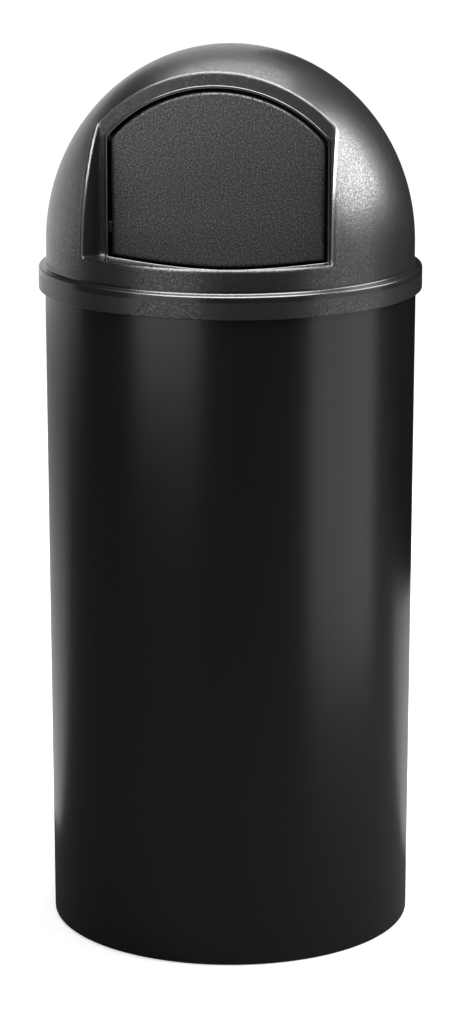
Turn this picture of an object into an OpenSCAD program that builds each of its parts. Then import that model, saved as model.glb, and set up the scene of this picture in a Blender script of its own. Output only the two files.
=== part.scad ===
// Dome top waste receptacle: a round moulded container, a dome lid with a
// sprung push door in a recessed face, and a lift-out galvanised liner.
// Millimetres. Z up, the floor is Z = 0, the centre line is the Z axis and
// the door faces -Y.

/* [Overall] */
// Height from the floor to the top of the dome
overall_h = 1067; // [1050:1:1110]
// Diameter across the lid's collar, the widest place
collar_d = 457; // [450:1:480]
// Wall of the moulded container, lid and door
wall = 3.5; // [3:0.1:4]
// Gap left where one piece rests on another
seat_gap = 0.3; // [0.2:0.05:0.5]

/* [Container shell] */
// Height of the collar's lower edge above the floor
collar_z = 780; // [740:1:800]
// Radial clearance between the rim bead and the collar's inside
collar_gap = 0.8; // [0.5:0.1:1.5]
// How far the rim bead stands out from the container wall
rim_out = 3.2; // [2:0.1:4]
// Height of the rim bead
rim_h = 7; // [5:0.5:12]
// How much smaller the container's radius is at the foot than at the rim
body_taper = 3; // [1:0.5:6]
// Rounding of the container's bottom edge
base_round = 3; // [2:0.5:5]
// Width of the ring that the container stands on
foot_w = 9; // [6:0.5:12]
// Height of the floor's underside above the ground
foot_h = 10; // [6:1:20]
// Thickness of the container's floor
floor_t = 4; // [3:0.5:6]

/* [Dome lid] */
// Height of the collar's outer face
collar_h = 27.5; // [22:0.5:32]
// Width of the ledge between the dome and the collar's face
ledge_w = 9; // [8:0.5:12]
// Rounding of the ledge's outer edge
ledge_round = 3; // [1.5:0.5:4]
// Fillet between the ledge and the dome
ledge_fillet = 2.5; // [1:0.5:4]
// Height of the straight part between the ledge and the dome
dome_straight = 26.5; // [20:0.5:30]

/* [Door recess] */
// Distance of the recessed face from the centre line
face_y = 94; // [90:1:100]
// Width of the dome left beyond each side of the recessed face
face_side = 59.35; // [56:0.05:62]
// Angle by which the recess widens towards the front on each side
recess_draft = 4.3; // [2:0.1:6]
// Height of the sill's front edge above the ledge
sill_rise = 29; // [26:1:34]
// Slope of the sill, falling towards the door
sill_slope = 10.4; // [5:0.2:12]

/* [Door opening] */
// Height of the opening's shoulders above the ledge
shoulder_rise = 160; // [150:1:164]
// Height of the arch above the shoulders
arch_rise = 59; // [52:1:60]
// Depth of the reveal round the opening
reveal_depth = 10; // [8:0.5:12]
// Thickness of the reveal
reveal_t = 3; // [2:0.1:3.5]

/* [Push door] */
// Gap between the door and the opening
door_gap = 3.5; // [3:0.1:4.5]
// How far the door's face lies behind the recessed face
door_set_back = 4; // [3:0.5:5]
// Depth of the door's edge flange, its face included
door_depth = 10; // [8:0.5:12]
// Thickness of the door's flange and ribs
flange_t = 3; // [2:0.1:4]
// Number of ribs on the back of the door
rib_count = 2; // [1:1:3]
// Height of a rib from the plate's back
rib_h = 5; // [3:0.5:6]
// Length of each hinge knuckle
knuckle_l = 16; // [12:1:20]
// Distance from the door's side to its knuckle
knuckle_in = 18.5; // [16:0.5:24]
// Height of the stop tabs on the door's sides
tab_h = 12; // [8:1:16]
// Thickness of the stop tabs
tab_t = 3; // [2:0.5:4]
// Height of the stop tabs' middle above the sill's front edge
tab_rise = 24; // [18:1:40]

/* [Hinge] */
// Diameter of the hinge rod
rod_d = 6; // [5:0.5:7]
// Distance of the rod behind the door's face
rod_back = 18; // [16:0.5:20]
// Height of the shoulders above the rod
rod_drop = 4.5; // [3:0.5:10]
// Running clearance on radius round the rod
run_gap = 0.05; // [0.02:0.01:0.1]
// Wall of a bush
bush_t = 2; // [1.5:0.1:2.5]
// Wall of a knuckle round its bush
knuckle_t = 2.5; // [2:0.1:3]
// Thickness of the hinge brackets
bracket_t = 1.6; // [1.2:0.1:2.5]
// Length of a bracket's foot below the rod
bracket_l = 34; // [32:1:40]
// Diameter of a bracket screw
screw_d = 3; // [2.5:0.1:3.5]
// Diameter of a bracket screw's head
screw_head_d = 6.4; // [5.5:0.1:7]
// Height of a bracket screw's head
screw_head_h = 2; // [1.5:0.1:2.5]
// Room left on each side of a bracket screw's head
head_gap = 0.45; // [0.3:0.05:1]
// Distance between a bracket's two screws
screw_pitch = 14; // [12:1:16]
// Plastic left in front of a screw's tip
screw_skin = 2; // [1.5:0.1:2.5]
// Length of the cap on each end of the rod
cap_l = 5; // [4:0.5:6]
// Diameter of a stop bumper
bumper_d = 8; // [6:0.5:9]

/* [Return springs] */
// Diameter of the spring wire
spring_wire = 1.6; // [1.2:0.1:1.8]
// Clearance on radius between a spring and the rod
spring_gap = 0.8; // [0.5:0.1:0.9]
// Number of turns in a spring
spring_turns = 8; // [6:1:8]
// Distance from one turn to the next
spring_pitch = 2.25; // [2.1:0.05:2.3]
// Length of the leg that bears on the door
door_leg = 28; // [20:1:34]
// Length of the leg that bears on the back of the reveal
lid_leg = 16; // [12:1:18]

/* [Liner] */
// Gap between the liner and the container's wall at the foot
liner_gap = 14.5; // [11:0.5:18]
// Distance of the liner's rim below the container's rim
liner_drop = 56; // [46:1:80]
// Thickness of the galvanised sheet
sheet = 0.7; // [0.6:0.1:1.2]
// Diameter of the wire inside the liner's rim
rim_wire_d = 5; // [4:0.5:6]
// Radius of the swaged beads round the liner
swage_r = 3; // [2:0.5:4]
// Number of swaged beads
swage_count = 2; // [1:1:4]
// Height of the liner's recessed bottom
bottom_rise = 8; // [5:1:14]
// Width of the band that holds the bag
band_w = 12; // [8:1:14]
// Thickness of the band that holds the bag
band_t = 1.8; // [1:0.1:3]
// Distance of the band below the liner's rim
band_drop = 9; // [8:1:12]

/* [Liner handles] */
// Diameter of the handle wire
handle_d = 6; // [5:0.5:7]
// Width of a handle between the middles of its sides
handle_w = 90; // [80:1:110]
// Length of a handle from its pivot to the middle of its grip
handle_l = 58; // [50:1:70]
// Bend radius at a handle's corners, on the wire's middle
handle_bend = 10; // [8:1:14]
// Clearance between a hanging handle and the liner
handle_gap = 0.6; // [0.4:0.1:1.5]
// Distance of the handle pivots below the liner's rim
pivot_drop = 32; // [31:1:40]
// Width of a handle ear's barrel
ear_w = 30; // [24:1:34]
// Thickness of a handle ear
ear_t = 1.5; // [1:0.1:2]
// Width of an ear's plate
ear_plate_w = 54; // [52:1:60]
// Height of an ear's plate
ear_plate_h = 18; // [16:1:20]
// Distance between an ear's two rivets
rivet_pitch = 42; // [41:1:44]
// Diameter of a rivet's shank
rivet_d = 4.8; // [4:0.1:5]
// Diameter of a rivet's head
rivet_head_d = 8; // [7:0.1:9]
// Height of a rivet's head
rivet_head_h = 1.6; // [1:0.1:2]

/* [Hidden] */

$fn = 96;
eps = 0.01;
past = 1;                       // how far a cutter runs past the face it opens
fit_gap = 0.05;                 // gap in a fixed joint, so that no two pieces share space

black = [0.07, 0.07, 0.075];
dark = [0.12, 0.12, 0.13];
steel = [0.66, 0.67, 0.68];
zinc = [0.60, 0.63, 0.65];
nylon = [0.90, 0.89, 0.84];
rubber = [0.16, 0.16, 0.17];

// Collar and dome
collar_r = collar_d / 2;
collar_top = collar_z + collar_h;
skirt_in_r = collar_r - wall;
ledge_under = collar_top - wall;
dome_r = collar_r - ledge_w;
dome_z = collar_top + dome_straight;
dome_rise = overall_h - dome_z;
dome_steps = 48;
edge_steps = 6;

// Container
rim_r = skirt_in_r - collar_gap;
rim_z = ledge_under - seat_gap;
body_top_r = rim_r - rim_out;
body_base_r = body_top_r - body_taper;
floor_z = foot_h + floor_t;

// Recess and opening
sill_z = collar_top + sill_rise;
shoulder_z = collar_top + shoulder_rise;
half_face = sqrt(pow(dome_r, 2) - pow(face_y, 2)) - face_side;
face_strip = reveal_t - wall + 2 * seat_gap + bracket_t + screw_head_d + 2 * head_gap;
half_opening = half_face - face_strip;
arch_r = (pow(half_opening, 2) + pow(arch_rise, 2)) / (2 * arch_rise);
arch_z = shoulder_z + arch_rise - arch_r;
face_back = -face_y + wall;
reveal_back = -face_y + reveal_depth;
strip_in = half_opening + reveal_t;
strip_out = half_face + wall;
strip_mid = (strip_in + strip_out) / 2;

// Door and hinge
half_door = half_opening - door_gap;
door_front = -face_y + door_set_back;
door_back = door_front + door_depth;
plate_back = door_front + wall;
rod_r = rod_d / 2;
rod_y = door_front + rod_back;
rod_z = shoulder_z - rod_drop;
bush_in_r = rod_r + run_gap;
bush_out_r = bush_in_r + bush_t;
knuckle_r = bush_out_r + fit_gap + knuckle_t;
knuckle_out = half_door - knuckle_in;
knuckle_x = knuckle_out - knuckle_l;
bush_flange = 1.2;
ear_in = strip_in + seat_gap;
ear_out = ear_in + bracket_t;
foot_out = strip_out - seat_gap;
bracket_end_r = rod_r + 5;
cap_r = rod_r + 2.5;
rod_end = ear_out + cap_l - 1;
screw_r = screw_d / 2;
screw_x = (ear_out + foot_out) / 2;
screw_z = [rod_z - screw_pitch, rod_z - 2 * screw_pitch];
screw_hole_end = -face_y + screw_skin;
boss_top = rod_z + bracket_end_r;
boss_bottom = rod_z - bracket_l;
tab_front = reveal_back + seat_gap;
tab_z = sill_z + tab_rise;

// Springs
spring_r = rod_r + spring_gap + spring_wire / 2;
spring_in = knuckle_out + bush_flange + spring_wire;
turn_rings = 12;
wire_sides = 6;

// Liner
liner_r = body_base_r - wall - liner_gap;
liner_in_r = liner_r - sheet;
liner_z = floor_z + seat_gap;
liner_top = rim_z - liner_drop;
curl_in_r = rim_wire_d / 2 + seat_gap;
curl_out_r = curl_in_r + sheet;
curl_r = liner_r + curl_in_r;
curl_z = liner_top - curl_out_r;
pan_r = liner_in_r - fit_gap;
band_top = liner_top - band_drop - rim_wire_d / 2;

// Handles
pivot_z = liner_top - pivot_drop;
handle_r = handle_d / 2;
handle_x = sqrt(pow(liner_in_r, 2) - pow(handle_w / 2 + handle_r, 2)) - handle_r - handle_gap;
barrel_in_r = handle_r + run_gap;
barrel_r = barrel_in_r + ear_t;
plate_in_r = liner_in_r - fit_gap - ear_t;
rivet_turn = asin(rivet_pitch / 2 / liner_r);

// Height of the sill's surface at a distance r from the centre line
function sill_at(r) = sill_z - (dome_r - r) * tan(sill_slope);

// Points of an arc about [cx, cy], from angle a0 to angle a1
function arc_points(cx, cy, r, a0, a1, steps) =
    [for (i = [0:steps]) let (a = a0 + (a1 - a0) * i / steps) [cx + r * cos(a), cy + r * sin(a)]];

// Profile of the dome from its straight foot to its top, drawn in by inset
function dome_points(inset) =
    [for (i = [0:dome_steps]) let (a = 90 * i / dome_steps)
        [(dome_r - inset) * cos(a), dome_z + (dome_rise - inset) * sin(a)]];

function unit(v) = v / norm(v);

// Closed ring of points round p, square to the direction t
function wire_ring(p, t, r) =
    let (n1 = unit(cross(t, [1, 0, 0])), n2 = cross(unit(t), n1))
    [for (k = [0:wire_sides - 1]) let (a = 360 * k / wire_sides) p + r * (cos(a) * n1 + sin(a) * n2)];

// A wire of radius r swept along the points of path
module wire(path, r) {
    last = len(path) - 1;
    points = [for (i = [0:last])
        each wire_ring(path[i], path[min(i + 1, last)] - path[max(i - 1, 0)], r)];
    sides = [for (i = [0:last - 1]) for (k = [0:wire_sides - 1])
        let (a = i * wire_sides + k, b = i * wire_sides + (k + 1) % wire_sides)
        each [[a, b, b + wire_sides], [a, b + wire_sides, a + wire_sides]]];
    start = [for (k = [1:wire_sides - 2]) [0, k + 1, k]];
    end = [for (k = [1:wire_sides - 2])
        let (e = last * wire_sides) [e, e + k, e + k + 1]];
    polyhedron(points = points, faces = concat(sides, start, end), convexity = 6);
}

// Turns a solid drawn upright along Z so that it lies along X
module along_x() {
    rotate([0, 90, 0]) children();
}

// Turns an outline drawn in X and Z into a solid from y0 to y1
module upright(y0, y1) {
    translate([0, y1, 0]) rotate([90, 0, 0]) linear_extrude(y1 - y0) children();
}

// The piece on the right-hand side, and its mirror image on the left
module on_side(side) {
    mirror([side == "left" ? 1 : 0, 0, 0]) children();
}

// ---- Container ----

module container_shell() {
    color(black) rotate_extrude($fn = 180) polygon(concat(
        [[0, foot_h], [body_base_r - base_round - foot_w, foot_h],
            [body_base_r - base_round - foot_w, 0]],
        arc_points(body_base_r - base_round, base_round, base_round, -90, 0, edge_steps),
        [[body_top_r, rim_z - rim_h - rim_out], [rim_r, rim_z - rim_h], [rim_r, rim_z],
            [body_top_r - wall, rim_z], [body_base_r - wall, floor_z], [0, floor_z]]
    ));
}

// ---- Dome lid ----

module lid_outside() {
    rotate_extrude($fn = 180) polygon(concat(
        [[0, collar_z]],
        arc_points(collar_r - 1, collar_z + 1, 1, -90, 0, 3),
        arc_points(collar_r - ledge_round, collar_top - ledge_round, ledge_round, 0, 90, edge_steps),
        arc_points(dome_r + ledge_fillet, collar_top + ledge_fillet, ledge_fillet, 270, 180, edge_steps),
        dome_points(0)
    ));
}

module lid_cavity() {
    rotate_extrude($fn = 180) polygon(concat(
        [[0, collar_z - past], [skirt_in_r, collar_z - past], [skirt_in_r, ledge_under],
            [dome_r - wall, ledge_under]],
        dome_points(wall)
    ));
}

// Everything below the sloping sill, let down by drop
module below_sill(drop) {
    reach = collar_r + 20;
    rotate_extrude($fn = 180)
        polygon([[0, 0], [reach, 0], [reach, sill_at(reach) - drop], [0, sill_at(0) - drop]]);
}

// A block as wide as the recess, in front of its face, grown by grow
module recess_block(grow) {
    y0 = -face_y + grow;
    y1 = -collar_r;
    x0 = half_face + grow;
    x1 = x0 + (collar_r - face_y + grow) * tan(recess_draft);
    linear_extrude(overall_h + past) polygon([[-x0, y0], [x0, y0], [x1, y1], [-x1, y1]]);
}

// Outline of the arched opening in X and Z, drawn in by inset
module arch_outline(inset) {
    intersection() {
        translate([-half_opening + inset, collar_z])
            square([2 * (half_opening - inset), overall_h - collar_z]);
        translate([0, arch_z]) circle(arch_r - inset, $fn = 180);
    }
}

// The recess, its walls, the reveal round the opening and the bosses, all solid
module recess_solid() {
    difference() {
        union() {
            recess_block(wall);
            upright(face_back - eps, reveal_back) arch_outline(-reveal_t);
            for (side = ["left", "right"]) on_side(side)
                translate([half_opening, face_back - eps, boss_bottom])
                    cube([strip_out - half_opening, reveal_back - face_back + eps, boss_top - boss_bottom]);
        }
        below_sill(wall);
    }
}

// The open space in front of the face and through the opening
module recess_space() {
    difference() {
        union() {
            recess_block(0);
            upright(-face_y - past, reveal_back + past) arch_outline(0);
        }
        below_sill(0);
    }
}

module screw_holes() {
    for (side = ["left", "right"], z = screw_z) on_side(side)
        translate([screw_x, reveal_back + past, z]) rotate([90, 0, 0])
            cylinder(r = screw_r + fit_gap, h = reveal_back + past - screw_hole_end, $fn = 24);
}

module dome_lid() {
    color(black) difference() {
        lid_outside();
        difference() {
            lid_cavity();
            recess_solid();
        }
        recess_space();
        screw_holes();
    }
}

// ---- Push door ----

// The door's outline as a solid from y0 to y1, drawn in by inset from its edge
module door_blank(y0, y1, inset) {
    difference() {
        upright(y0, y1) arch_outline(door_gap + inset);
        below_sill(-door_gap - inset);
    }
}

module door_ribs() {
    low = sill_z + tab_rise + tab_h;
    step = (rod_z - knuckle_r - low) / (rib_count + 1);
    for (i = [1:rib_count])
        translate([-half_door + eps, plate_back - eps, low + i * step - flange_t / 2])
            cube([2 * (half_door - eps), rib_h, flange_t]);
}

module knuckle() {
    translate([knuckle_x, rod_y, rod_z]) along_x() cylinder(r = knuckle_r, h = knuckle_l, $fn = 48);
    translate([knuckle_x, plate_back - eps, rod_z - knuckle_r])
        cube([knuckle_l, rod_y - plate_back, 2 * knuckle_r]);
}

module stop_tab() {
    translate([half_door - flange_t, tab_front, tab_z - tab_h / 2])
        cube([strip_out - seat_gap - half_door + flange_t, tab_t, tab_h]);
}

module door_panel() {
    color(dark) difference() {
        union() {
            door_blank(door_front, plate_back, 0);
            difference() {
                door_blank(door_front, door_back, 0);
                door_blank(plate_back, door_back + past, flange_t);
            }
            door_ribs();
            for (side = ["left", "right"]) on_side(side) {
                knuckle();
                stop_tab();
            }
        }
        for (side = ["left", "right"]) on_side(side)
            translate([knuckle_x - past, rod_y, rod_z]) along_x()
                cylinder(r = bush_out_r + fit_gap, h = knuckle_l + 2 * past, $fn = 48);
    }
}

module door_bush(side) {
    color(nylon) on_side(side) translate([knuckle_x, rod_y, rod_z]) along_x() difference() {
        union() {
            cylinder(r = bush_out_r, h = knuckle_l, $fn = 48);
            translate([0, 0, knuckle_l]) cylinder(r = knuckle_r, h = bush_flange, $fn = 48);
        }
        translate([0, 0, -past]) cylinder(r = bush_in_r, h = knuckle_l + bush_flange + 2 * past, $fn = 48);
    }
}

// ---- Hinge ----

module hinge_rod() {
    color(steel) translate([-rod_end, rod_y, rod_z]) along_x() cylinder(r = rod_r, h = 2 * rod_end, $fn = 48);
}

module rod_caps() {
    color(steel) for (side = ["left", "right"]) on_side(side)
        translate([ear_out + fit_gap, rod_y, rod_z]) along_x() difference() {
            union() {
                cylinder(r = cap_r, h = cap_l - 1, $fn = 48);
                cylinder(r = cap_r - 1, h = cap_l + 1, $fn = 48);
            }
            translate([0, 0, -past]) cylinder(r = rod_r + fit_gap / 2, h = cap_l + past, $fn = 48);
        }
}

module hinge_bracket(side) {
    color(steel) on_side(side) difference() {
        union() {
            translate([ear_in, reveal_back, boss_bottom])
                cube([foot_out - ear_in, bracket_t, boss_top - boss_bottom]);
            translate([ear_in, reveal_back, rod_z - bracket_end_r])
                cube([bracket_t, rod_y - reveal_back, 2 * bracket_end_r]);
            translate([ear_in, rod_y, rod_z]) along_x() cylinder(r = bracket_end_r, h = bracket_t, $fn = 48);
        }
        translate([ear_in - past, rod_y, rod_z]) along_x()
            cylinder(r = rod_r + fit_gap, h = bracket_t + 2 * past, $fn = 48);
        for (z = screw_z) translate([screw_x, reveal_back - past, z]) rotate([-90, 0, 0])
            cylinder(r = screw_r + 2 * fit_gap, h = bracket_t + 2 * past, $fn = 24);
    }
}

module bracket_screws() {
    color(steel) for (side = ["left", "right"], z = screw_z) on_side(side)
        translate([screw_x, reveal_back + bracket_t, z]) rotate([-90, 0, 0]) difference() {
            union() {
                cylinder(d = screw_head_d, h = screw_head_h, $fn = 36);
                translate([0, 0, screw_hole_end - reveal_back - bracket_t + seat_gap])
                    cylinder(r = screw_r, h = reveal_back + bracket_t - screw_hole_end, $fn = 24);
            }
            for (turn = [0, 90]) rotate(turn)
                translate([-screw_head_d / 4, -0.4, screw_head_h - 1]) cube([screw_head_d / 2, 0.8, 1 + eps]);
        }
}

module door_bumpers() {
    color(rubber) for (side = ["left", "right"]) on_side(side)
        translate([strip_mid, face_back, tab_z]) rotate([-90, 0, 0])
            cylinder(d = bumper_d, h = reveal_back - face_back, $fn = 36);
}

// ---- Return springs ----

// The wire's middle: up the leg on the door, round the coil, up the leg on the reveal
spring_end = spring_in + spring_turns * spring_pitch;
leg_y = reveal_back + seat_gap + spring_wire / 2;
reveal_top = arch_z + sqrt(pow(arch_r, 2) - pow(spring_end, 2));
spring_path = concat(
    [[spring_in, plate_back + seat_gap + spring_wire / 2, rod_z - door_leg]],
    [for (i = [0:turn_rings * spring_turns]) let (a = 360 * i / turn_rings)
        [spring_in + spring_pitch * i / turn_rings,
            rod_y - spring_r * cos(a), rod_z + spring_r * sin(a)]],
    [[spring_end, leg_y, reveal_top], [spring_end, leg_y, rod_z + lid_leg]]
);
turn_gap = min([for (i = [1:turn_rings * (spring_turns - 1)])
    norm(spring_path[i + turn_rings] - spring_path[i])]) - spring_wire;
echo(least_gap_between_turns = turn_gap);

module return_spring(side) {
    color(steel) on_side(side) wire(spring_path, spring_wire / 2);
}

// ---- Liner ----

module liner_profile() {
    difference() {
        union() {
            translate([liner_in_r, liner_z]) square([sheet, curl_z - liner_z]);
            for (i = [1:swage_count])
                translate([liner_in_r, liner_z + (liner_top - liner_z) * i / (swage_count + 1)])
                    circle(swage_r + sheet, $fn = 36);
            translate([curl_r, curl_z]) circle(curl_out_r, $fn = 48);
        }
        translate([liner_in_r - 2 * swage_r, liner_z]) square([2 * swage_r, liner_top - liner_z]);
        for (i = [1:swage_count])
            translate([liner_in_r, liner_z + (liner_top - liner_z) * i / (swage_count + 1)])
                circle(swage_r, $fn = 36);
        translate([curl_r, curl_z]) circle(curl_in_r, $fn = 48);
        translate([liner_r, curl_z - curl_out_r]) square([curl_in_r, curl_out_r]);
    }
}

module rivet_cuts(r) {
    for (side = ["left", "right"], s = [-1, 1]) on_side(side) rotate(s * rivet_turn)
        translate([plate_in_r - 5, 0, pivot_z]) along_x() cylinder(r = r, h = 12, $fn = 32);
}

module liner_shell() {
    color(zinc) difference() {
        rotate_extrude($fn = 180) liner_profile();
        rivet_cuts(rivet_d / 2 + fit_gap);
    }
}

module liner_bottom() {
    color(zinc) rotate_extrude($fn = 180) polygon([
        [0, liner_z + bottom_rise], [pan_r - sheet, liner_z + bottom_rise], [pan_r - sheet, liner_z],
        [pan_r, liner_z], [pan_r, liner_z + bottom_rise + sheet], [0, liner_z + bottom_rise + sheet]
    ]);
}

module liner_rim_wire() {
    color(steel) rotate_extrude($fn = 180) translate([curl_r, curl_z]) circle(d = rim_wire_d, $fn = 36);
}

module bag_band() {
    color(rubber) rotate_extrude($fn = 180)
        translate([liner_r + fit_gap, band_top - band_w]) square([band_t, band_w]);
}

module handle_ear(side) {
    color(zinc) on_side(side) difference() {
        union() {
            intersection() {
                translate([0, 0, pivot_z - ear_plate_h / 2]) rotate_extrude($fn = 180)
                    translate([plate_in_r, 0]) square([ear_t, ear_plate_h]);
                translate([handle_x - barrel_r, -ear_plate_w / 2, pivot_z - ear_plate_h])
                    cube([liner_r, ear_plate_w, 2 * ear_plate_h]);
            }
            translate([handle_x, ear_w / 2, pivot_z]) rotate([90, 0, 0])
                cylinder(r = barrel_r, h = ear_w, $fn = 48);
            translate([handle_x, -ear_w / 2, pivot_z + barrel_r - ear_t])
                cube([plate_in_r + ear_t / 2 - handle_x, ear_w, ear_t]);
        }
        translate([handle_x, ear_w / 2 + past, pivot_z]) rotate([90, 0, 0])
            cylinder(r = barrel_in_r, h = ear_w + 2 * past, $fn = 48);
        rivet_cuts(rivet_d / 2 + fit_gap);
    }
}

module ear_rivets() {
    inner = plate_in_r - fit_gap;
    outer = liner_r + fit_gap;
    color(steel) for (side = ["left", "right"], s = [-1, 1]) on_side(side) rotate(s * rivet_turn)
        translate([0, 0, pivot_z]) along_x() {
            translate([0, 0, inner - rivet_head_h])
                cylinder(d = rivet_head_d, h = rivet_head_h, $fn = 36);
            translate([0, 0, inner - eps])
                cylinder(d = rivet_d, h = outer - inner + 2 * eps, $fn = 32);
            translate([0, 0, outer]) cylinder(d = rivet_head_d, h = rivet_head_h, $fn = 36);
        }
}

module handle_corner(turn) {
    rotate(turn) translate([-handle_bend, -handle_bend]) rotate_extrude(angle = 90, $fn = 48)
        translate([handle_bend, 0]) circle(handle_r, $fn = 36);
}

// A closed wire loop drawn flat, its pivot bar along X, its grip at -Y
module handle_loop() {
    run_x = handle_w - 2 * handle_bend;
    run_y = handle_l - 2 * handle_bend;
    for (y = [0, -handle_l]) translate([-run_x / 2, y, 0]) along_x() cylinder(r = handle_r, h = run_x, $fn = 36);
    for (x = [-1, 1]) translate([x * handle_w / 2, -handle_bend, 0]) rotate([90, 0, 0])
        cylinder(r = handle_r, h = run_y, $fn = 36);
    translate([handle_w / 2, 0, 0]) handle_corner(0);
    translate([-handle_w / 2, 0, 0]) handle_corner(90);
    translate([-handle_w / 2, -handle_l, 0]) handle_corner(180);
    translate([handle_w / 2, -handle_l, 0]) handle_corner(270);
}

module handle(side) {
    color(steel) on_side(side) translate([handle_x, 0, pivot_z]) rotate([90, 0, 90]) handle_loop();
}

container_shell();
dome_lid();
door_panel();
door_bush("left");  // door_bush_left
door_bush("right");  // door_bush_right
hinge_rod();
rod_caps();
hinge_bracket("left");  // hinge_bracket_left
hinge_bracket("right");  // hinge_bracket_right
bracket_screws();
door_bumpers();
return_spring("left");  // return_spring_left
return_spring("right");  // return_spring_right
liner_shell();
liner_bottom();
liner_rim_wire();
bag_band();
handle_ear("left");  // handle_ear_left
handle_ear("right");  // handle_ear_right
ear_rivets();
handle("left");  // handle_left
handle("right");  // handle_right
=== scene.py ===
import math

import bpy
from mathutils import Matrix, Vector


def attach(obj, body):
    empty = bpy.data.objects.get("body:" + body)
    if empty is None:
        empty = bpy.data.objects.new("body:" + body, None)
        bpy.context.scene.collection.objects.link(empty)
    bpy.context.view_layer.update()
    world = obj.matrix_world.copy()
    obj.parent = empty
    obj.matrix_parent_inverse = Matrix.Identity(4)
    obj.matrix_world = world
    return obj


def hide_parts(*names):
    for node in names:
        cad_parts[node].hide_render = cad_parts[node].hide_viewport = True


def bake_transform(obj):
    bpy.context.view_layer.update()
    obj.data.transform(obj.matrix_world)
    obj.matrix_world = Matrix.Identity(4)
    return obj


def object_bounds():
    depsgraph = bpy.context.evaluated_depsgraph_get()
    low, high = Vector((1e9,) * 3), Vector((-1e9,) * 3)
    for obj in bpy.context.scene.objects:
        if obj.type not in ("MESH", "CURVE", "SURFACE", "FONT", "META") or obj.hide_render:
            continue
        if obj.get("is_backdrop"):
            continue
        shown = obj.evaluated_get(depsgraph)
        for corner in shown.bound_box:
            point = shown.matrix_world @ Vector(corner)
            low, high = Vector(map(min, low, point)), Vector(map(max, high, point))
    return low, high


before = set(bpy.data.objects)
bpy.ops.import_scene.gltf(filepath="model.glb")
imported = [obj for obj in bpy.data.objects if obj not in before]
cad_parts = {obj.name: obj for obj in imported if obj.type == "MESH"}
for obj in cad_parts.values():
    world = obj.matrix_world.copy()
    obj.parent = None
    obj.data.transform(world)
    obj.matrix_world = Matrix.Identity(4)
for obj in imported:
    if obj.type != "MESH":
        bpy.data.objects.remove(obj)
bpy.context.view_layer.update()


# ---- Container ----
# The container is one deep round tub, injection moulded in black
# polyethylene. Its wall is smooth and satin, and a bead under the rim
# centres the lid.

shell_black = (0.0042, 0.0042, 0.0045, 1.0)
grain_left_by_wear = 0.06
polished_skin_ior = 1.8
# How much paler the grain's tops are painted: a painted glint.
painted_glint_paler = 1.9


def new_finish(name, colour, roughness, metallic=0.0, specular=0.5):
    """A material for one finish, with its shader's plain values set."""
    finish = bpy.data.materials.new(name)
    finish.use_nodes = True
    shader = finish.node_tree.nodes["Principled BSDF"]
    shader.inputs["Base Color"].default_value = colour
    shader.inputs["Roughness"].default_value = roughness
    shader.inputs["Metallic"].default_value = metallic
    shader.inputs["Specular IOR Level"].default_value = specular
    return finish


def node(tree, kind, **values):
    """A new shader node, with its inputs or settings given by name."""
    made = tree.nodes.new(kind)
    for key, value in values.items():
        if key in made.inputs:
            made.inputs[key].default_value = value
        else:
            setattr(made, key, value)
    return made


def ramp(tree, start, end, low=0.0, high=1.0, **settings):
    """A node that goes from low to high as its value goes from start to end."""
    made = node(tree, "ShaderNodeMapRange", **settings)
    made.inputs["From Min"].default_value = start
    made.inputs["From Max"].default_value = end
    made.inputs["To Min"].default_value = low
    made.inputs["To Max"].default_value = high
    return made


def new_group(name, inputs, outputs):
    """An empty node group with named inputs, their first values, and outputs."""
    group = bpy.data.node_groups.new(name, "ShaderNodeTree")
    for label, (kind, value) in inputs.items():
        socket = group.interface.new_socket(label, in_out="INPUT", socket_type=kind)
        if value is not None:
            socket.default_value = value
    for label, kind in outputs.items():
        group.interface.new_socket(label, in_out="OUTPUT", socket_type=kind)
    return group, group.nodes.new("NodeGroupInput"), group.nodes.new("NodeGroupOutput")


def place_group(finish, group, **values):
    """A node group placed in a finish, with its own values."""
    placed = finish.node_tree.nodes.new("ShaderNodeGroup")
    placed.node_tree = group
    for key, value in values.items():
        placed.inputs[key].default_value = value
    return placed


def wire_up(tree, *pairs):
    """Links output sockets to input sockets, given in pairs."""
    for out_socket, in_socket in pairs:
        tree.links.new(out_socket, in_socket)


# Moulded edges are never sharp: this rounds them where the light sees them,
# and tells where they are, because hands and bags polish them.
rounded_edge, group_in, group_out = new_group(
    "rounded_edge",
    {"Radius": ("NodeSocketFloat", 0.001)},
    {"Normal": "NodeSocketVector", "Edge": "NodeSocketFloat", "Crest": "NodeSocketFloat"},
)
edge = node(rounded_edge, "ShaderNodeBevel", samples=8)
flat = node(rounded_edge, "ShaderNodeNewGeometry")
alike = node(rounded_edge, "ShaderNodeVectorMath", operation="DOT_PRODUCT")
turned = ramp(rounded_edge, 0.98, 0.90)
outermost = ramp(rounded_edge, 0.95, 0.86)
wire_up(
    rounded_edge,
    (group_in.outputs["Radius"], edge.inputs["Radius"]),
    (edge.outputs["Normal"], alike.inputs[0]),
    (flat.outputs["Normal"], alike.inputs[1]),
    (alike.outputs["Value"], turned.inputs["Value"]),
    (turned.outputs["Result"], group_out.inputs["Edge"]),
    (alike.outputs["Value"], outermost.inputs["Value"]),
    (outermost.outputs["Result"], group_out.inputs["Crest"]),
    (edge.outputs["Normal"], group_out.inputs["Normal"]),
)
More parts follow.
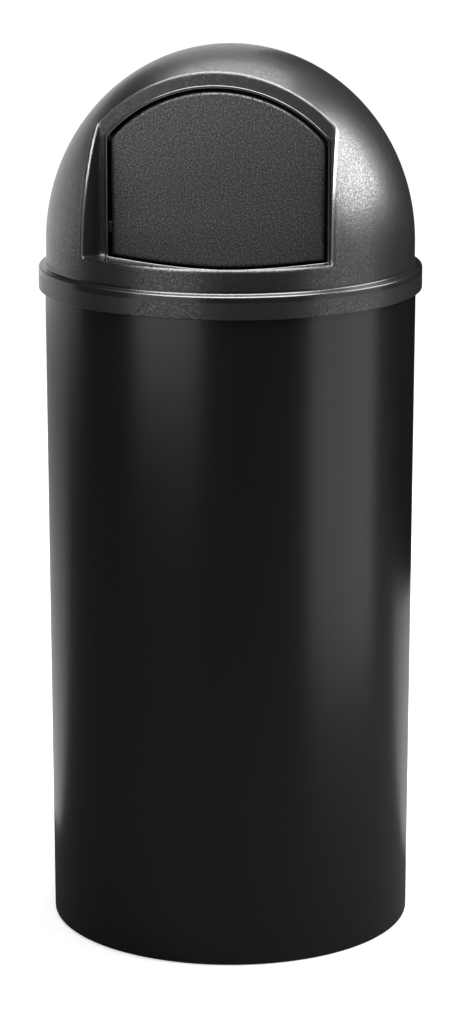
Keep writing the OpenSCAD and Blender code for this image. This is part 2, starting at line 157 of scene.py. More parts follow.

# The etched grain of a mould, or the slight ripple of a smooth one. Its
# highest tops glint under a clear coat, and are painted paler: a painted glint.
moulded_grain, group_in, group_out = new_group(
    "moulded_grain",
    {
        "Cell": ("NodeSocketFloat", 0.0015),
        "Depth": ("NodeSocketFloat", 0.0001),
        "Normal": ("NodeSocketVector", None),
    },
    {"Normal": "NodeSocketVector", "Glint": "NodeSocketFloat"},
)
place = node(moulded_grain, "ShaderNodeTexCoord")
per_cell = node(moulded_grain, "ShaderNodeMath", operation="DIVIDE")
per_cell.inputs[0].default_value = 1.0
fine = node(moulded_grain, "ShaderNodeTexNoise", Detail=3.0, Roughness=0.7)
bump = node(moulded_grain, "ShaderNodeBump", Strength=1.0)
flats = ramp(moulded_grain, 0.42, 0.68, interpolation_type="SMOOTHSTEP")
wire_up(
    moulded_grain,
    (group_in.outputs["Cell"], per_cell.inputs[1]),
    (place.outputs["Object"], fine.inputs["Vector"]),
    (per_cell.outputs["Value"], fine.inputs["Scale"]),
    (fine.outputs["Fac"], bump.inputs["Height"]),
    (group_in.outputs["Depth"], bump.inputs["Distance"]),
    (group_in.outputs["Normal"], bump.inputs["Normal"]),
    (bump.outputs["Normal"], group_out.inputs["Normal"]),
    (fine.outputs["Fac"], flats.inputs["Value"]),
    (flats.outputs["Result"], group_out.inputs["Glint"]),
)

# Handling leaves long faint rubs, which change the gloss a little.
handling_rubs, group_in, group_out = new_group(
    "handling_rubs",
    {
        "Least": ("NodeSocketFloat", 0.3),
        "Most": ("NodeSocketFloat", 0.4),
        "Stretch": ("NodeSocketVector", (9.0, 9.0, 2.0)),
    },
    {"Roughness": "NodeSocketFloat"},
)
place = node(handling_rubs, "ShaderNodeTexCoord")
drawn_out = node(handling_rubs, "ShaderNodeVectorMath", operation="MULTIPLY")
cloudy = node(handling_rubs, "ShaderNodeTexNoise", Scale=1.0, Detail=5.0, Roughness=0.6)
gloss = ramp(handling_rubs, 0.3, 0.7)
wire_up(
    handling_rubs,
    (place.outputs["Object"], drawn_out.inputs[0]),
    (group_in.outputs["Stretch"], drawn_out.inputs[1]),
    (drawn_out.outputs["Vector"], cloudy.inputs["Vector"]),
    (cloudy.outputs["Fac"], gloss.inputs["Value"]),
    (group_in.outputs["Least"], gloss.inputs["To Min"]),
    (group_in.outputs["Most"], gloss.inputs["To Max"]),
    (gloss.outputs["Result"], group_out.inputs["Roughness"]),
)


def moulded_plastic(
    name, colour, least, most, specular, cell, depth, edge_radius, polish=0.22, glint=0.0,
    smooth_where=None
):
    """Moulded polyethylene: polished edges, the mould's grain and faint rubs."""
    finish = new_finish(name, colour, least, specular=specular)
    tree = finish.node_tree
    shader = tree.nodes["Principled BSDF"]
    edges = place_group(finish, rounded_edge, Radius=edge_radius)
    grain = place_group(finish, moulded_grain, Cell=cell, Depth=depth)
    rubs = place_group(finish, handling_rubs, Least=least, Most=most)
    worn = node(tree, "ShaderNodeMath", operation="MAXIMUM")
    gloss = node(tree, "ShaderNodeMix", data_type="FLOAT")
    gloss.inputs["B"].default_value = polish
    left_rough = ramp(tree, 0.0, 1.0, depth, depth * grain_left_by_wear)
    left_glint = ramp(tree, 0.0, 1.0, glint, 0.0)
    tops = node(tree, "ShaderNodeMath", operation="MULTIPLY")
    bright = node(tree, "ShaderNodeMath", operation="MAXIMUM")
    shader.inputs["Coat Roughness"].default_value = polish
    shader.inputs["Coat IOR"].default_value = polished_skin_ior
    # The grain's tops are also painted paler than the plastic: a painted glint. The coat on
    # them and on the crests is real gloss.
    painted_glint_colour = node(tree, "ShaderNodeMix", data_type="RGBA")
    painted_glint_colour.inputs["A"].default_value = colour
    paler = tuple(c * painted_glint_paler for c in colour[:3])
    painted_glint_colour.inputs["B"].default_value = paler + (1.0,)
    wire_up(
        tree,
        (edges.outputs["Edge"], worn.inputs[0]),
        (worn.outputs["Value"], gloss.inputs["Factor"]),
        (worn.outputs["Value"], left_rough.inputs["Value"]),
        (rubs.outputs["Roughness"], gloss.inputs["A"]),
        (edges.outputs["Normal"], grain.inputs["Normal"]),
        (left_rough.outputs["Result"], grain.inputs["Depth"]),
        (grain.outputs["Normal"], shader.inputs["Normal"]),
        (gloss.outputs["Result"], shader.inputs["Roughness"]),
        (worn.outputs["Value"], left_glint.inputs["Value"]),
        (left_glint.outputs["Result"], tops.inputs[1]),
        (grain.outputs["Glint"], tops.inputs[0]),
        (tops.outputs["Value"], bright.inputs[0]),
        (edges.outputs["Crest"], bright.inputs[1]),
        (bright.outputs["Value"], shader.inputs["Coat Weight"]),
        (tops.outputs["Value"], painted_glint_colour.inputs["Factor"]),
        (painted_glint_colour.outputs["Result"], shader.inputs["Base Color"]),
    )
    if smooth_where:
        smooth = place_group(finish, smooth_where)
        wire_up(tree, (smooth.outputs["Smooth"], worn.inputs[1]))
        if "Edge Radius" in smooth.outputs:
            wire_up(tree, (smooth.outputs["Edge Radius"], edges.inputs["Radius"]))
    return finish


def dress(node_name, finish):
    """Gives a CAD node its finish."""
    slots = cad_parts[node_name].data.materials
    slots.clear()
    slots.append(finish)


satin_black = moulded_plastic(
    "satin_black", shell_black, 0.26, 0.33, 0.5, cell=0.006, depth=0.00003, edge_radius=0.0012
)
dress("container_shell", satin_black)


# ---- Dome lid ----
# The lid is moulded in one piece: the collar that drops over the rim, the
# dome, and the recess with its arched opening. Its outside has a fine
# etched grain.

lid_black = (0.0110, 0.0110, 0.0114, 1.0)
dome_r = 0.2195
dome_rise = 0.233
dome_foot = 0.834
face_y = -0.094
ledge_z = 0.8055
collar_edge_r = 0.0012
sill_edge_r = 0.0080
jamb_edge_r = 0.0100
arch_edge_r = 0.0055

# The etched grain is on the outside and on the recessed face. The sides and
# the sill of the recess, the ledge and the inside come off smooth steel. The
# edges of the recess are well rounded, those of the collar are small.
off_smooth_steel, group_in, group_out = new_group(
    "off_smooth_steel", {}, {"Smooth": "NodeSocketFloat", "Edge Radius": "NodeSocketFloat"}
)
place = node(off_smooth_steel, "ShaderNodeTexCoord")
part = node(off_smooth_steel, "ShaderNodeSeparateXYZ")
up = node(off_smooth_steel, "ShaderNodeMath", operation="SUBTRACT")
up.inputs[1].default_value = dome_foot
risen = node(off_smooth_steel, "ShaderNodeMath", operation="DIVIDE", use_clamp=True)
risen.inputs[1].default_value = dome_rise
squared = node(off_smooth_steel, "ShaderNodeMath", operation="MULTIPLY")
rest = node(off_smooth_steel, "ShaderNodeMath", operation="SUBTRACT")
rest.inputs[0].default_value = 1.0
narrowed = node(off_smooth_steel, "ShaderNodeMath", operation="SQRT")
outside = node(off_smooth_steel, "ShaderNodeMath", operation="MULTIPLY")
outside.inputs[1].default_value = dome_r
across = node(off_smooth_steel, "ShaderNodeVectorMath", operation="MULTIPLY")
across.inputs[1].default_value = (1.0, 1.0, 0.0)
reach = node(off_smooth_steel, "ShaderNodeVectorMath", operation="LENGTH")
within = node(off_smooth_steel, "ShaderNodeMath", operation="SUBTRACT")
under_skin = ramp(off_smooth_steel, 0.0012, 0.0026)
from_face = node(off_smooth_steel, "ShaderNodeMath", operation="SUBTRACT")
from_face.inputs[1].default_value = face_y
apart = node(off_smooth_steel, "ShaderNodeMath", operation="ABSOLUTE")
off_face = ramp(off_smooth_steel, 0.0005, 0.0012)
both = node(off_smooth_steel, "ShaderNodeMath", operation="MULTIPLY")
from_ledge = node(off_smooth_steel, "ShaderNodeMath", operation="SUBTRACT")
from_ledge.inputs[1].default_value = ledge_z
either_way = node(off_smooth_steel, "ShaderNodeMath", operation="ABSOLUTE")
near_ledge = ramp(off_smooth_steel, 0.0065, 0.0050)
any_smooth = node(off_smooth_steel, "ShaderNodeMath", operation="MAXIMUM")
wider = ramp(off_smooth_steel, 0.814, 0.822, collar_edge_r, sill_edge_r)
narrower = ramp(off_smooth_steel, 0.970, 1.000, jamb_edge_r, arch_edge_r)
kept = node(off_smooth_steel, "ShaderNodeMath", operation="MINIMUM")
wire_up(
    off_smooth_steel,
    (place.outputs["Object"], part.inputs["Vector"]),
    (part.outputs["Z"], up.inputs[0]),
    (up.outputs["Value"], risen.inputs[0]),
    (risen.outputs["Value"], squared.inputs[0]),
    (risen.outputs["Value"], squared.inputs[1]),
    (squared.outputs["Value"], rest.inputs[1]),
    (rest.outputs["Value"], narrowed.inputs[0]),
    (narrowed.outputs["Value"], outside.inputs[0]),
    (place.outputs["Object"], across.inputs[0]),
    (across.outputs["Vector"], reach.inputs[0]),
    (outside.outputs["Value"], within.inputs[0]),
    (reach.outputs["Value"], within.inputs[1]),
    (within.outputs["Value"], under_skin.inputs["Value"]),
    (part.outputs["Y"], from_face.inputs[0]),
    (from_face.outputs["Value"], apart.inputs[0]),
    (apart.outputs["Value"], off_face.inputs["Value"]),
    (under_skin.outputs["Result"], both.inputs[0]),
    (off_face.outputs["Result"], both.inputs[1]),
    (part.outputs["Z"], from_ledge.inputs[0]),
    (from_ledge.outputs["Value"], either_way.inputs[0]),
    (either_way.outputs["Value"], near_ledge.inputs["Value"]),
    (both.outputs["Value"], any_smooth.inputs[0]),
    (near_ledge.outputs["Result"], any_smooth.inputs[1]),
    (any_smooth.outputs["Value"], group_out.inputs["Smooth"]),
    (part.outputs["Z"], wider.inputs["Value"]),
    (part.outputs["Z"], narrower.inputs["Value"]),
    (wider.outputs["Result"], kept.inputs[0]),
    (narrower.outputs["Result"], kept.inputs[1]),
    (kept.outputs["Value"], group_out.inputs["Edge Radius"]),
)

grained_black = moulded_plastic(
    "grained_black", lid_black, 0.27, 0.33, 0.45, cell=0.0021, depth=0.00036,
    edge_radius=0.0100, polish=0.22, glint=0.6, smooth_where=off_smooth_steel,
)
dress("dome_lid", grained_black)


# ---- Bead round the opening ----
# A small rounded bead stands on the recessed face all round the opening, and
# follows the curved sill under the door. It is moulded with the lid.

bead_r = 0.00125
bead_out = 0.0021
opening_half = 0.130
arch_r = 0.17273
arch_z = 0.85377
arch_steps = 48
sill_foot_z = 0.8262
sill_fall = math.tan(math.radians(10.4))
sill_steps = 24


def select_none():
    """Leaves edit mode and deselects everything."""
    if bpy.context.object and bpy.context.object.mode != "OBJECT":
        bpy.ops.object.mode_set(mode="OBJECT")
    bpy.ops.object.select_all(action="DESELECT")


def start_path(name, point):
    """A mesh of one selected vertex, left in edit mode to be drawn out."""
    select_none()
    bpy.ops.mesh.primitive_plane_add(size=0.01, location=(0, 0, 0))
    path = bpy.context.object
    path.name = name
    bpy.ops.object.mode_set(mode="EDIT")
    bpy.ops.mesh.select_mode(type="VERT")
    bpy.ops.mesh.merge(type="CENTER")
    bpy.ops.transform.translate(value=point)


def draw_by(x, y, z):
    """Extrudes what is selected by that much."""
    bpy.ops.mesh.extrude_region_move(TRANSFORM_OT_translate={"value": (x, y, z)})


def draw_through(here, points):
    """Draws the path's end on from here through the points."""
    for point in points:
        draw_by(*(b - a for a, b in zip(here, point)))
        here = point


def round_wire(radius, sides=3):
    """Turns the drawn path into a round wire of that radius, closed at its ends."""
    bpy.ops.object.mode_set(mode="OBJECT")
    bpy.ops.object.convert(target="CURVE")
    wire = bpy.context.object
    wire.data.bevel_depth = radius
    wire.data.bevel_resolution = sides
    wire.data.use_fill_caps = True
    bpy.ops.object.convert(target="MESH")
    wire = bpy.context.object
    bpy.ops.object.mode_set(mode="EDIT")
    bpy.ops.mesh.select_all(action="SELECT")
    bpy.ops.mesh.remove_doubles(threshold=0.00001)
    bpy.ops.object.mode_set(mode="OBJECT")
    bpy.ops.object.shade_smooth_by_angle(angle=math.radians(60))
    return wire


line_x = opening_half + bead_out
line_r = arch_r + bead_out
shoulder_z = arch_z + math.sqrt(line_r**2 - line_x**2)
corner_reach = math.hypot(line_x, face_y)
sill_line = []
for i in range(1, sill_steps + 1):
    x = line_x * (1 - 2 * i / sill_steps)
    sill_z = sill_foot_z + sill_fall * (math.hypot(x, face_y) - corner_reach)
    sill_line.append((x, face_y, sill_z))

start_path("opening_bead", (-line_x, face_y, sill_foot_z))
draw_by(0, 0, shoulder_z - sill_foot_z)
bpy.ops.mesh.spin(
    steps=arch_steps,
    angle=math.pi - 2 * math.acos(line_x / line_r),
    center=(0, face_y, arch_z),
    axis=(0, -1, 0),
)
draw_by(0, 0, sill_foot_z - shoulder_z)
draw_through((line_x, face_y, sill_foot_z), sill_line)
bpy.ops.mesh.select_all(action="SELECT")
bpy.ops.mesh.remove_doubles(threshold=0.0001)
bead = round_wire(bead_r)
smooth_black = moulded_plastic(
    "smooth_black", lid_black, 0.18, 0.26, 0.6, cell=0.006, depth=0.00002, edge_radius=0.0004
)
bead.data.materials.append(smooth_black)
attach(bead, "lid")


# ---- Gate mark ----
# The lid was filled through the top of the dome, and the sprue was cut off
# there. It leaves a small flat disc with a dimple.

dome_top = 1.067
mark_r = 0.0032
mark_h = 0.0012
mark_sunk = 0.0003
mark_rim = 0.0012
dimple_wall = 0.0008
dimple_depth = 0.0003
mark_round = 0.0002


def select_faces(piece, wanted):
    """Selects the faces of a piece that are wanted, and leaves it in edit mode."""
    bpy.ops.object.mode_set(mode="EDIT")
    bpy.ops.mesh.select_mode(type="FACE")
    bpy.ops.mesh.select_all(action="DESELECT")
    bpy.ops.object.mode_set(mode="OBJECT")
    for face in piece.data.polygons:
        face.select = wanted(face)
    bpy.ops.object.mode_set(mode="EDIT")


select_none()
bpy.ops.mesh.primitive_cylinder_add(
    vertices=40, radius=mark_r, depth=mark_h, location=(0, 0, dome_top - mark_sunk)
)
mark = bpy.context.object
mark.name = "gate_mark"
select_faces(mark, lambda face: face.normal.z > 0.9)
bpy.ops.mesh.inset(thickness=mark_rim)
bpy.ops.mesh.inset(thickness=dimple_wall, depth=-dimple_depth)
bpy.ops.mesh.select_all(action="SELECT")
bpy.ops.mesh.bevel(offset=mark_round, segments=2)
bpy.ops.object.mode_set(mode="OBJECT")
bpy.ops.object.transform_apply(location=True, rotation=True, scale=True)
bpy.ops.object.shade_smooth_by_angle(angle=math.radians(40))
mark.data.materials.append(grained_black)
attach(mark, "lid")


# ---- Push door ----
# The door is a shallow grained panel with a flange round its edge, two ribs,
# and knuckles that turn on the rod. Its front edge is well rounded.

door_black = (0.0095, 0.0095, 0.0098, 1.0)
door_front = -0.090
door_round = 0.0055
grain_ends = 0.0012
smooth_from = 0.0024

# Only its front is grained. Its back comes off the smooth side of the mould.
off_smooth_core, group_in, group_out = new_group(
    "off_smooth_core", {}, {"Smooth": "NodeSocketFloat"}
)
place = node(off_smooth_core, "ShaderNodeTexCoord")
part = node(off_smooth_core, "ShaderNodeSeparateXYZ")
behind = ramp(off_smooth_core, door_front + grain_ends, door_front + smooth_from)
wire_up(
    off_smooth_core,
    (place.outputs["Object"], part.inputs["Vector"]),
    (part.outputs["Y"], behind.inputs["Value"]),
    (behind.outputs["Result"], group_out.inputs["Smooth"]),
)

grained_door = moulded_plastic(
    "grained_door", door_black, 0.41, 0.47, 0.32, cell=0.0020, depth=0.00034,
    edge_radius=0.0010, polish=0.42, glint=0.9, smooth_where=off_smooth_core,
)
select_none()
door = bpy.data.objects.new("push_door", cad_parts["door_panel"].data.copy())
bpy.context.scene.collection.objects.link(door)
bpy.context.view_layer.objects.active = door
door.select_set(True)
bpy.ops.object.mode_set(mode="EDIT")
bpy.ops.mesh.select_all(action="SELECT")
bpy.ops.mesh.remove_doubles(threshold=0.00001)
bpy.ops.mesh.dissolve_limited(angle_limit=math.radians(0.5))
select_faces(
    door, lambda face: face.normal.y < -0.99 and abs(face.center.y - door_front) < 0.0002
)
bpy.ops.mesh.region_to_loop()
bpy.ops.mesh.bevel(offset=door_round, segments=6)
bpy.ops.object.mode_set(mode="OBJECT")
bpy.ops.object.shade_smooth_by_angle(angle=math.radians(32))
door.data.materials.clear()
door.data.materials.append(grained_door)
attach(door, "door")
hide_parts("door_panel")


# ---- Door bushes ----
# Two flanged bushes of natural nylon are pressed into the door's knuckles
# and run on the rod.

nylon_white = (0.62, 0.60, 0.52, 1.0)

nylon = moulded_plastic(
    "nylon", nylon_white, 0.38, 0.46, 0.45, cell=0.004, depth=0.00003, edge_radius=0.0003
)
shader = nylon.node_tree.nodes["Principled BSDF"]
shader.inputs["Subsurface Weight"].default_value = 0.15
shader.inputs["Subsurface Scale"].default_value = 0.002
for side in ("left", "right"):
    dress(f"door_bush_{side}", nylon)


# ---- Hinge ----
# A zinc plated rod passes through the brackets at each side of the opening,
# with a pressed cap on each end. Two screws hold each bracket to its boss.

zinc_bright = (0.52, 0.53, 0.55, 1.0)
small_patches = (60.0, 60.0, 60.0)


def plated_metal(name, colour, least, most, cell, depth, edge_radius):
    """Plated metal with a drawn or brushed surface and slightly dulled patches."""
    finish = new_finish(name, colour, least, metallic=1.0)
    shader = finish.node_tree.nodes["Principled BSDF"]
    edges = place_group(finish, rounded_edge, Radius=edge_radius)
    grain = place_group(finish, moulded_grain, Cell=cell, Depth=depth)
    rubs = place_group(finish, handling_rubs, Least=least, Most=most, Stretch=small_patches)
    wire_up(
        finish.node_tree,
        (edges.outputs["Normal"], grain.inputs["Normal"]),
        (grain.outputs["Normal"], shader.inputs["Normal"]),
        (rubs.outputs["Roughness"], shader.inputs["Roughness"]),
    )
    return finish


plated_steel = plated_metal(
    "plated_steel", zinc_bright, 0.22, 0.36, cell=0.0008, depth=0.00001, edge_radius=0.0004
)
for piece in (
    "hinge_rod", "rod_caps", "hinge_bracket_left", "hinge_bracket_right", "bracket_screws"
):
    dress(piece, plated_steel)


# ---- Return springs ----
# A torsion spring of oiled steel wire sits on the rod beside each knuckle.
# One leg bears on the door and the other on the back of the reveal, so the
# coils wind up between them as the door opens.

spring_grey = (0.23, 0.235, 0.245, 1.0)
wire_r = 0.0008
coil_r = 0.0046
coil_start = 0.1108
coil_pitch = 0.00225
coil_turns = 8
turn_steps = 24
rod_y = -0.072
rod_z = 0.963
door_leg_end = (-0.0854, 0.935)
reveal_leg_bend = (-0.0829, 0.96886)
reveal_leg_end = (-0.0829, 0.979)

spring_steel = plated_metal(
    "spring_steel", spring_grey, 0.28, 0.42, cell=0.0006, depth=0.00001, edge_radius=0.0002
)
for side, hand in (("left", -1), ("right", 1)):
    door_end = (hand * coil_start, *door_leg_end)
    route = []
    for i in range(turn_steps * coil_turns + 1):
        turn = 2 * math.pi * i / turn_steps
        route.append(
            (
                hand * (coil_start + coil_pitch * i / turn_steps),
                rod_y - coil_r * math.cos(turn),
                rod_z + coil_r * math.sin(turn),
            )
        )
    end_x = hand * (coil_start + coil_pitch * coil_turns)
    route += [(end_x, *reveal_leg_bend), (end_x, *reveal_leg_end)]
    start_path(f"return_spring_wire_{side}", door_end)
    draw_through(door_end, route)
    spring = round_wire(wire_r, sides=2)
    spring.data.materials.append(spring_steel)
    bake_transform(spring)
    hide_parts(f"return_spring_{side}")


# ---- Stop bumpers ----
# Soft rubber plugs in the jambs quieten the door as its tabs come back
# against them.

rubber_black = (0.013, 0.013, 0.013, 1.0)

soft_rubber = moulded_plastic(
    "soft_rubber", rubber_black, 0.62, 0.78, 0.35, cell=0.0012, depth=0.00004,
    edge_radius=0.0005,
)
dress("door_bumpers", soft_rubber)


# ---- Liner ----
# The liner is a lift-out can of hot dipped galvanised sheet: a wall rolled
# round and lock seamed, two swaged beads, a set-up bottom, and a rim curled
# over a wire.

zinc_grey = (0.46, 0.48, 0.50, 1.0)
seam_w = 0.011
seam_h = 0.0011
seam_sunk = 0.0002
seam_round = 0.0004
liner_r = 0.200
seam_low = 0.020
seam_high = 0.7365

# Zinc sets in flat crystals, each with its own shade and gloss.
zinc_spangle, group_in, group_out = new_group(
    "zinc_spangle",
    {
        "Crystals per metre": ("NodeSocketFloat", 75.0),
        "Colour": ("NodeSocketColor", zinc_grey),
        "Depth": ("NodeSocketFloat", 0.00003),
        "Normal": ("NodeSocketVector", None),
    },
    {"Colour": "NodeSocketColor", "Roughness": "NodeSocketFloat", "Normal": "NodeSocketVector"},
)
place = node(zinc_spangle, "ShaderNodeTexCoord")
frost = node(zinc_spangle, "ShaderNodeTexNoise", Scale=55.0, Detail=3.0)
astray = node(zinc_spangle, "ShaderNodeVectorMath", operation="MULTIPLY_ADD")
astray.inputs[1].default_value = (0.012, 0.012, 0.012)
crystals = node(zinc_spangle, "ShaderNodeTexVoronoi", Randomness=1.0)
shade = node(zinc_spangle, "ShaderNodeSeparateColor")
lightness = ramp(zinc_spangle, 0.0, 1.0, 0.74, 1.12)
tinted = node(zinc_spangle, "ShaderNodeVectorMath", operation="SCALE")
dulled = ramp(zinc_spangle, 0.0, 1.0, 0.30, 0.50)
frosted = node(zinc_spangle, "ShaderNodeMath", operation="ADD")
raised = node(zinc_spangle, "ShaderNodeBump", Strength=1.0)
wire_up(
    zinc_spangle,
    (place.outputs["Object"], frost.inputs["Vector"]),
    (frost.outputs["Color"], astray.inputs[0]),
    (place.outputs["Object"], astray.inputs[2]),
    (astray.outputs["Vector"], crystals.inputs["Vector"]),
    (group_in.outputs["Crystals per metre"], crystals.inputs["Scale"]),
    (crystals.outputs["Color"], shade.inputs["Color"]),
    (shade.outputs["Red"], lightness.inputs["Value"]),
    (group_in.outputs["Colour"], tinted.inputs[0]),
    (lightness.outputs["Result"], tinted.inputs["Scale"]),
    (tinted.outputs["Vector"], group_out.inputs["Colour"]),
    (shade.outputs["Green"], dulled.inputs["Value"]),
    (dulled.outputs["Result"], group_out.inputs["Roughness"]),
    (shade.outputs["Blue"], frosted.inputs[0]),
    (frost.outputs["Fac"], frosted.inputs[1]),
    (frosted.outputs["Value"], raised.inputs["Height"]),
    (group_in.outputs["Depth"], raised.inputs["Distance"]),
    (group_in.outputs["Normal"], raised.inputs["Normal"]),
    (raised.outputs["Normal"], group_out.inputs["Normal"]),
)

galvanised = new_finish("galvanised", zinc_grey, 0.4, metallic=1.0)
shader = galvanised.node_tree.nodes["Principled BSDF"]
edges = place_group(galvanised, rounded_edge, Radius=0.0004)
spangle = place_group(galvanised, zinc_spangle, Colour=zinc_grey)
wire_up(
    galvanised.node_tree,
    (edges.outputs["Normal"], spangle.inputs["Normal"]),
    (spangle.outputs["Colour"], shader.inputs["Base Color"]),
    (spangle.outputs["Roughness"], shader.inputs["Roughness"]),
    (spangle.outputs["Normal"], shader.inputs["Normal"]),
)
for piece in ("liner_shell", "liner_bottom", "handle_ear_left", "handle_ear_right"):
    dress(piece, galvanised)
for piece in ("liner_rim_wire", "handle_left", "handle_right"):
    dress(piece, plated_steel)

# The lock seam: the wall's folded ends, hammered flat down the back.
select_none()
bpy.ops.mesh.primitive_cube_add(
    size=1, location=(0, liner_r + seam_h / 2 - seam_sunk, (seam_low + seam_high) / 2)
)
seam = bpy.context.object
seam.name = "liner_seam"
seam.scale = (seam_w, seam_h, seam_high - seam_low)
bpy.ops.object.transform_apply(location=True, rotation=True, scale=True)
bpy.ops.object.mode_set(mode="EDIT")
bpy.ops.mesh.select_all(action="SELECT")
bpy.ops.mesh.bevel(offset=seam_round, segments=3)
bpy.ops.object.mode_set(mode="OBJECT")
bpy.ops.object.shade_smooth_by_angle(angle=math.radians(40))
seam.data.materials.append(galvanised)
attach(seam, "liner")


# ---- Bag band ----
# A black rubber band round the outside of the liner, under its rim, holds
# the mouth of a bag.

band_black = (0.016, 0.016, 0.016, 1.0)

band_rubber = moulded_plastic(
    "band_rubber", band_black, 0.58, 0.72, 0.4, cell=0.002, depth=0.00006, edge_radius=0.0006
)
dress("bag_band", band_rubber)


# ---- Ear rivets ----
# Each handle ear is held by two steel rivets with low domed heads, inside
# and outside the liner's wall.

rivet_grey = (0.48, 0.49, 0.50, 1.0)
rivet_z = 0.7157
rivet_aside = 0.021
rivet_turn = math.asin(rivet_aside / liner_r)
head_r = 0.004
head_h = 0.0016
head_steps = ((0.4, 0.82), (0.25, 0.5))
head_gap = 0.00005
shank_r = 0.0024
inner_face = 0.1977

rivet_steel = plated_metal(
    "rivet_steel", rivet_grey, 0.26, 0.40, cell=0.0007, depth=0.00001, edge_radius=0.0003
)
heads = []
for side_turn in (0, math.pi):
    for turn in (-rivet_turn, rivet_turn):
        select_none()
        bpy.ops.mesh.primitive_cylinder_add(
            vertices=32, radius=shank_r, depth=liner_r + head_gap - inner_face,
            location=(0, 0, (liner_r + head_gap + inner_face) / 2),
        )
        rivet = bpy.context.object
        for out in (1, -1):
            select_faces(rivet, lambda face: face.normal.z * out > 0.9)
            draw_by(0, 0, 0)
            bpy.ops.transform.resize(value=(head_r / shank_r, head_r / shank_r, 1))
            draw_by(0, 0, out * head_h * 0.35)
            for share, narrower_by in head_steps:
                draw_by(0, 0, out * head_h * share)
                bpy.ops.transform.resize(value=(narrower_by, narrower_by, 1))
        bpy.ops.object.mode_set(mode="OBJECT")
        bpy.ops.object.transform_apply(location=True, rotation=False, scale=False)
        rivet.location = (0, 0, rivet_z)
        rivet.rotation_euler = (0, math.pi / 2, side_turn + turn)
        bpy.ops.object.transform_apply(location=True, rotation=True, scale=True)
        bpy.ops.object.shade_smooth_by_angle(angle=math.radians(50))
        heads.append(rivet)
select_none()
for rivet in heads:
    rivet.select_set(True)
bpy.context.view_layer.objects.active = heads[0]
bpy.ops.object.join()
rivets = bpy.context.object
rivets.name = "domed_rivets"
rivets.data.materials.append(rivet_steel)
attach(rivets, "liner")
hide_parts("ear_rivets")


# ---- Floor, light and camera ----
# A pale floor under a white sky, four soft lamps, and the camera at the
# photograph's viewing angle. A fifth lamp, and the cards, cloths and dark room
# round the receptacle, are seen in its gloss alone.

view_from = 9.65
view_distance = 4.107
view_height = 1.5157
view_down = 13.88
focal_pixels = 3487.2
photo_pixels_high = 1024
floor_glow_near = 0.48
floor_glow_far = 0.76
sky_light = 0.35
room_r = 4.2
ceiling_z = 3.6
on_floor_z = 0.0004


def seen_or_mirrored(tree):
    """One where a ray is the camera's, a reflection's or a transmission's."""
    rays = node(tree, "ShaderNodeLightPath")
    two = node(tree, "ShaderNodeMath", operation="ADD")
    any_of_them = node(tree, "ShaderNodeMath", operation="ADD", use_clamp=True)
    wire_up(
        tree,
        (rays.outputs["Is Camera Ray"], two.inputs[0]),
        (rays.outputs["Is Glossy Ray"], two.inputs[1]),
        (two.outputs["Value"], any_of_them.inputs[0]),
        (rays.outputs["Is Transmission Ray"], any_of_them.inputs[1]),
    )
    return any_of_them.outputs["Value"]


select_none()
bpy.ops.mesh.primitive_plane_add(size=24, location=(0, 0, -0.0005))
floor = bpy.context.object
floor.name = "floor"
pale_floor = new_finish("pale_floor", (0.80, 0.80, 0.80, 1.0), 0.9, specular=0.1)
tree = pale_floor.node_tree
shader = tree.nodes["Principled BSDF"]
glow = node(tree, "ShaderNodeEmission", Color=(1, 1, 1, 1))
lift = node(tree, "ShaderNodeMath", operation="MULTIPLY")
both = node(tree, "ShaderNodeAddShader")
place = node(tree, "ShaderNodeTexCoord")
away = node(tree, "ShaderNodeVectorMath", operation="LENGTH")
paler = ramp(
    tree, 0.4, 2.5, floor_glow_near, floor_glow_far, interpolation_type="SMOOTHSTEP"
)
wire_up(
    tree,
    (place.outputs["Object"], away.inputs[0]),
    (away.outputs["Value"], paler.inputs["Value"]),
    (seen_or_mirrored(tree), lift.inputs[0]),
    (paler.outputs["Result"], lift.inputs[1]),
    (lift.outputs["Value"], glow.inputs["Strength"]),
    (shader.outputs["BSDF"], both.inputs[0]),
    (glow.outputs["Emission"], both.inputs[1]),
    (both.outputs["Shader"], tree.nodes["Material Output"].inputs["Surface"]),
)
floor.data.materials.append(pale_floor)
floor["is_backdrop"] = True

world = bpy.data.worlds.new("studio")
bpy.context.scene.world = world
world.use_nodes = True
tree = world.node_tree
sky = tree.nodes["Background"]
sky.inputs["Color"].default_value = (1, 1, 1, 1)
level = ramp(tree, 0.0, 1.0, sky_light, 1.0)
wire_up(
    tree,
    (seen_or_mirrored(tree), level.inputs["Value"]),
    (level.outputs["Result"], sky.inputs["Strength"]),
)


def stand_at(azimuth, reach, height, tilt=0.0):
    """Place and turn for a lamp or card that faces the receptacle."""
    a = math.radians(azimuth + view_from)
    place = (reach * math.sin(a), -reach * math.cos(a), height)
    return place, (math.pi / 2 - math.radians(tilt), 0, a)


def softbox(name, azimuth, reach, height, width, tall, brightness, tilt=0.0):
    """A soft lamp, at an azimuth from the camera's side and a height."""
    place, turn = stand_at(azimuth, reach, height, tilt)
    bpy.ops.object.light_add(type="AREA", location=place, rotation=turn)
    lamp = bpy.context.object
    lamp.name = name
    lamp.data.shape = "RECTANGLE"
    lamp.data.size = width
    lamp.data.size_y = tall
    lamp.data.energy = brightness * width * tall * math.pi
    return lamp


softbox("key_right", 92, 1.7, 1.83, 1.30, 1.28, 13.5, tilt=26)
softbox("panel_right", 70, 1.25, 0.62, 1.10, 1.2, 1.15)
softbox("panel_left", -37, 1.6, 1.17, 1.15, 1.5, 1.7)
softbox("overhead", 180, 0.30, 2.50, 1.5, 1.8, 4.2, tilt=84)
sheen = softbox("front_sheen", 0, 0.65, 2.30, 2.4, 1.5, 25.0, tilt=72)
sheen.visible_diffuse = False


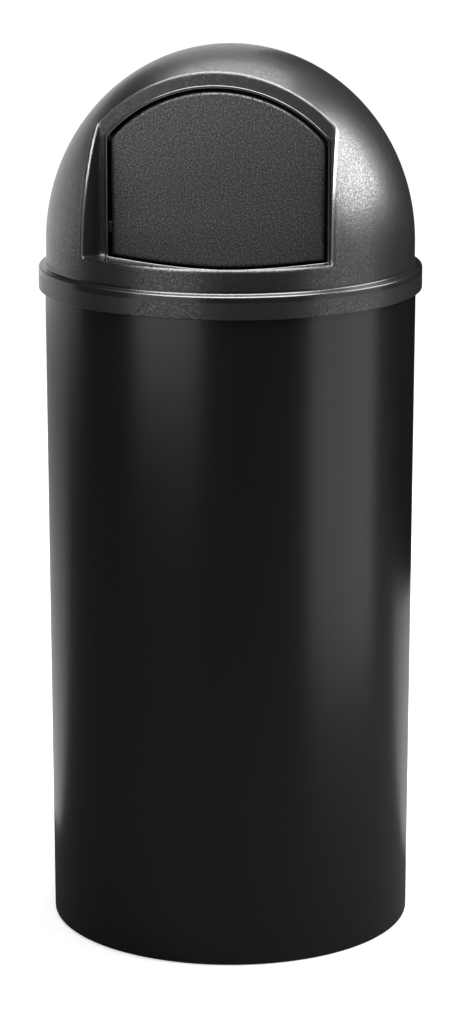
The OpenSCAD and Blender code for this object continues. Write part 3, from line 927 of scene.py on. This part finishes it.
def seen_in_gloss_only(card, finish):
    """Cards are kept out of the picture, and cut the reflections alone."""
    card.data.materials.append(finish)
    card.visible_camera = False
    card.visible_diffuse = False
    card.visible_shadow = False
    card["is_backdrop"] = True


black_card = new_finish("black_card", (0.002, 0.002, 0.002, 1.0), 1.0, specular=0.0)
grey_cloth = new_finish("grey_cloth", (0.10, 0.10, 0.10, 1.0), 1.0, specular=0.0)
mid_cloth = new_finish("mid_cloth", (0.46, 0.46, 0.46, 1.0), 1.0, specular=0.0)
pale_cloth = new_finish("pale_cloth", (0.62, 0.62, 0.62, 1.0), 1.0, specular=0.0)


def dark_card(name, azimuth, reach, low, high, width):
    """A black card that faces the receptacle, from a low to a high edge."""
    place, turn = stand_at(azimuth, reach, (low + high) / 2)
    select_none()
    bpy.ops.mesh.primitive_plane_add(size=1, location=place, rotation=turn)
    card = bpy.context.object
    card.name = name
    card.scale = (width, high - low, 1)
    bpy.ops.object.transform_apply(location=True, rotation=True, scale=True)
    seen_in_gloss_only(card, black_card)


dark_card("card_right", 142, 1.0, 0.16, 1.75, 1.20)


def keep_sector(sheet, start, end):
    """Deletes the faces outside a range of azimuths from the camera's side."""

    def beyond(face):
        from_camera = math.degrees(math.atan2(face.center.x, -face.center.y)) - view_from
        return not start < (from_camera + 180) % 360 - 180 < end

    select_faces(sheet, beyond)
    bpy.ops.mesh.delete(type="FACE")
    bpy.ops.object.mode_set(mode="OBJECT")


# A grey cloth lies on the floor in front and round the foot, and paler ones
# behind. The ceiling is dark.
for name, start, end, reach, high, finish in (
    ("cloth_front", -122, 118, room_r, on_floor_z, grey_cloth),
    ("cloth_foot", -181, 118, 0.45, 0.0008, grey_cloth),
    ("cloth_behind_right", 118, 181, room_r, on_floor_z, mid_cloth),
    ("cloth_behind_left", -181, -122, room_r, on_floor_z, pale_cloth),
    ("dark_ceiling", -181, 181, room_r, ceiling_z, black_card),
):
    select_none()
    bpy.ops.mesh.primitive_circle_add(
        vertices=72, radius=reach, fill_type="TRIFAN", location=(0, 0, high)
    )
    sheet = bpy.context.object
    sheet.name = name
    bpy.ops.object.transform_apply(location=True, rotation=True, scale=True)
    keep_sector(sheet, start, end)
    seen_in_gloss_only(sheet, finish)

# The room behind the camera is dark, and so is its upper part at the left.
for name, start, end, low, high in (
    ("dark_room", -106, 118, 0.0, ceiling_z),
    ("dark_room_left", -165, -106, 2.0, ceiling_z),
):
    select_none()
    bpy.ops.mesh.primitive_cylinder_add(
        vertices=72, radius=room_r, depth=high - low, end_fill_type="NOTHING",
        location=(0, 0, (low + high) / 2),
    )
    room = bpy.context.object
    room.name = name
    bpy.ops.object.transform_apply(location=True, rotation=True, scale=True)
    keep_sector(room, start, end)
    seen_in_gloss_only(room, black_card)

view_azimuth = math.radians(view_from)
bpy.ops.object.camera_add(
    location=(
        view_distance * math.sin(view_azimuth),
        -view_distance * math.cos(view_azimuth),
        view_height,
    ),
    rotation=(math.radians(90 - view_down), 0, view_azimuth),
)
camera = bpy.context.object
camera.data.lens = focal_pixels / photo_pixels_high * camera.data.sensor_width
bpy.context.scene.camera = camera
bpy.context.scene.view_settings.view_transform = "Standard"

low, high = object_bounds()
